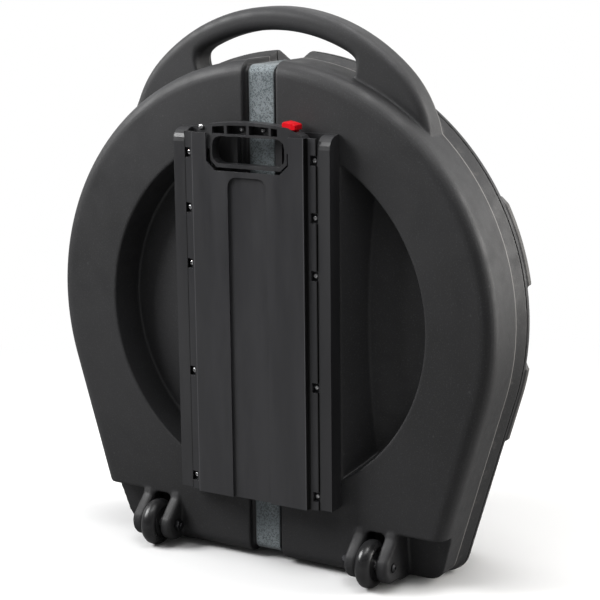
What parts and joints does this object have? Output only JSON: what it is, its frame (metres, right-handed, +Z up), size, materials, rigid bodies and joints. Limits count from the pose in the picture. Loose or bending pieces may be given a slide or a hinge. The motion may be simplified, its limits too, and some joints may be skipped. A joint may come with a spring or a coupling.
{
  "type": "cymbal case",
  "caption": "Round-topped hard case with wheels, a pull handle in a housing on its back, a moulded carry handle, a strap and a lift-off lid over a centre post",
  "frame": {"origin": "middle of the bounding box at ground level, the case standing on its wheels and feet", "axes": "+Z up, +Y out of the lid, -Y out of the back with the pull handle and the wheels, +X to the side of the red release button"},
  "size_m": [0.6738, 0.223, 0.7382],
  "materials": {
    "moulded_shell": "black moulded polyethylene with a fine leather-like texture",
    "satin_plastic": "black injection moulded plastic, satin",
    "grey_webbing": "plain woven grey webbing",
    "charcoal_foam": "charcoal closed-cell foam",
    "zinc_steel": "bright zinc plate",
    "brass": "turned",
    "nylon": "natural nylon",
    "grey_felt": "pressed grey felt",
    "wheel_tyre": "smooth glossy black",
    "wheel_hub": "black moulded hub",
    "leg_extrusion": "satin extrusion",
    "red_button": "bright red"
  },
  "bodies": {
    "base": {"base_shell": "moulded_shell", "strap_back": "grey_webbing", "base_foam_filler": "charcoal_foam", "base_foam_core": "charcoal_foam", "base_foam_slab": "charcoal_foam", "base_edge_foam": "charcoal_foam", "centre_post": "nylon", "felt_washer_lower": "grey_felt", "felt_washer_upper": "grey_felt", "post_washer": "zinc_steel", "trolley_housing": "satin_plastic", "cover_panel": "satin_plastic", "cover_screw_1": "zinc_steel", "cover_screw_2": "zinc_steel", "cover_screw_3": "zinc_steel", "cover_screw_4": "zinc_steel", "cover_screw_5": "zinc_steel", "cover_screw_6": "zinc_steel", "cover_screw_7": "zinc_steel", "cover_screw_8": "zinc_steel", "cover_screw_9": "zinc_steel", "cover_screw_10": "zinc_steel", "housing_rivet_1": "zinc_steel", "housing_rivet_2": "zinc_steel", "housing_rivet_3": "zinc_steel", "housing_rivet_4": "zinc_steel", "handle_guide_left": "nylon", "axle_bolt_left": "zinc_steel", "axle_nut_left": "zinc_steel", "handle_guide_right": "nylon", "axle_bolt_right": "zinc_steel", "axle_nut_right": "zinc_steel"},
    "lid": {"lid_shell": "moulded_shell", "buckle_body": "satin_plastic", "lid_foam_slab": "charcoal_foam", "lid_edge_foam": "charcoal_foam", "strap_front_upper": "grey_webbing", "strap_front_lower": "grey_webbing"},
    "buckle_tongue": {"buckle_tongue": "satin_plastic"},
    "buckle_release": {"buckle_release": "satin_plastic"},
    "pull_handle": {"handle_grip": "satin_plastic", "grip_back": "satin_plastic", "button_spring": "zinc_steel", "handle_leg_left": "leg_extrusion", "handle_leg_right": "leg_extrusion", "grip_screw_left": "zinc_steel", "grip_screw_right": "zinc_steel", "handle_crossbar": "satin_plastic"},
    "release_button": {"release_button": "red_button"},
    "latch_bolt": {"latch_bolt": "zinc_steel"},
    "wheel_left": {"wheel_left_tyre": "wheel_tyre", "wheel_left_hub": "wheel_hub", "wheel_left_bearing_inner": "zinc_steel", "wheel_left_bearing_outer": "zinc_steel"},
    "wheel_right": {"wheel_right_tyre": "wheel_tyre", "wheel_right_hub": "wheel_hub", "wheel_right_bearing_inner": "zinc_steel", "wheel_right_bearing_outer": "zinc_steel"},
    "hold_down_knob": {"hold_down_knob": "satin_plastic", "knob_insert": "brass"}
  },
  "joints": [
    {"name": "lid_off", "type": "slide", "parent": "base", "child": "lid", "axis": [0, 1, 0], "range_m": [0, 0.25]},
    {"name": "buckle_tongue_slide", "type": "slide", "parent": "lid", "child": "buckle_tongue", "axis": [0, 0, 1], "range_m": [0, 0.03]},
    {"name": "buckle_release_press", "type": "slide", "parent": "lid", "child": "buckle_release", "axis": [0, -1, 0], "range_m": [0, 0.002], "stiffness_N_per_m": 500, "springref_m": -0.002},
    {"name": "pull_handle_slide", "type": "slide", "parent": "base", "child": "pull_handle", "axis": [0, 0, 1], "range_m": [0, 0.33]},
    {"name": "release_button_press", "type": "slide", "parent": "pull_handle", "child": "release_button", "axis": [0, 0, -1], "range_m": [0, 0.004], "stiffness_N_per_m": 500, "springref_m": -0.003, "deforming": ["button_spring"]},
    {"name": "latch_bolt_draw", "type": "slide", "parent": "pull_handle", "child": "latch_bolt", "axis": [-1, 0, 0], "range_m": [0, 0.0015]},
    {"name": "wheel_left_spin", "type": "hinge", "parent": "base", "child": "wheel_left", "pos_m": [-0.168, -0.0795, 0.032], "axis": [1, 0, 0], "continuous": true},
    {"name": "wheel_right_spin", "type": "hinge", "parent": "base", "child": "wheel_right", "pos_m": [0.168, -0.0795, 0.032], "axis": [1, 0, 0], "continuous": true},
    {"name": "hold_down_knob_turn", "type": "hinge", "parent": "base", "child": "hold_down_knob", "pos_m": [0, 0.0523, 0.343], "axis": [0, 1, 0], "continuous": true}
  ],
  "couplings": [
    {"joint": "latch_bolt_draw", "follows": "release_button_press", "ratio": 0.375}
  ]
}
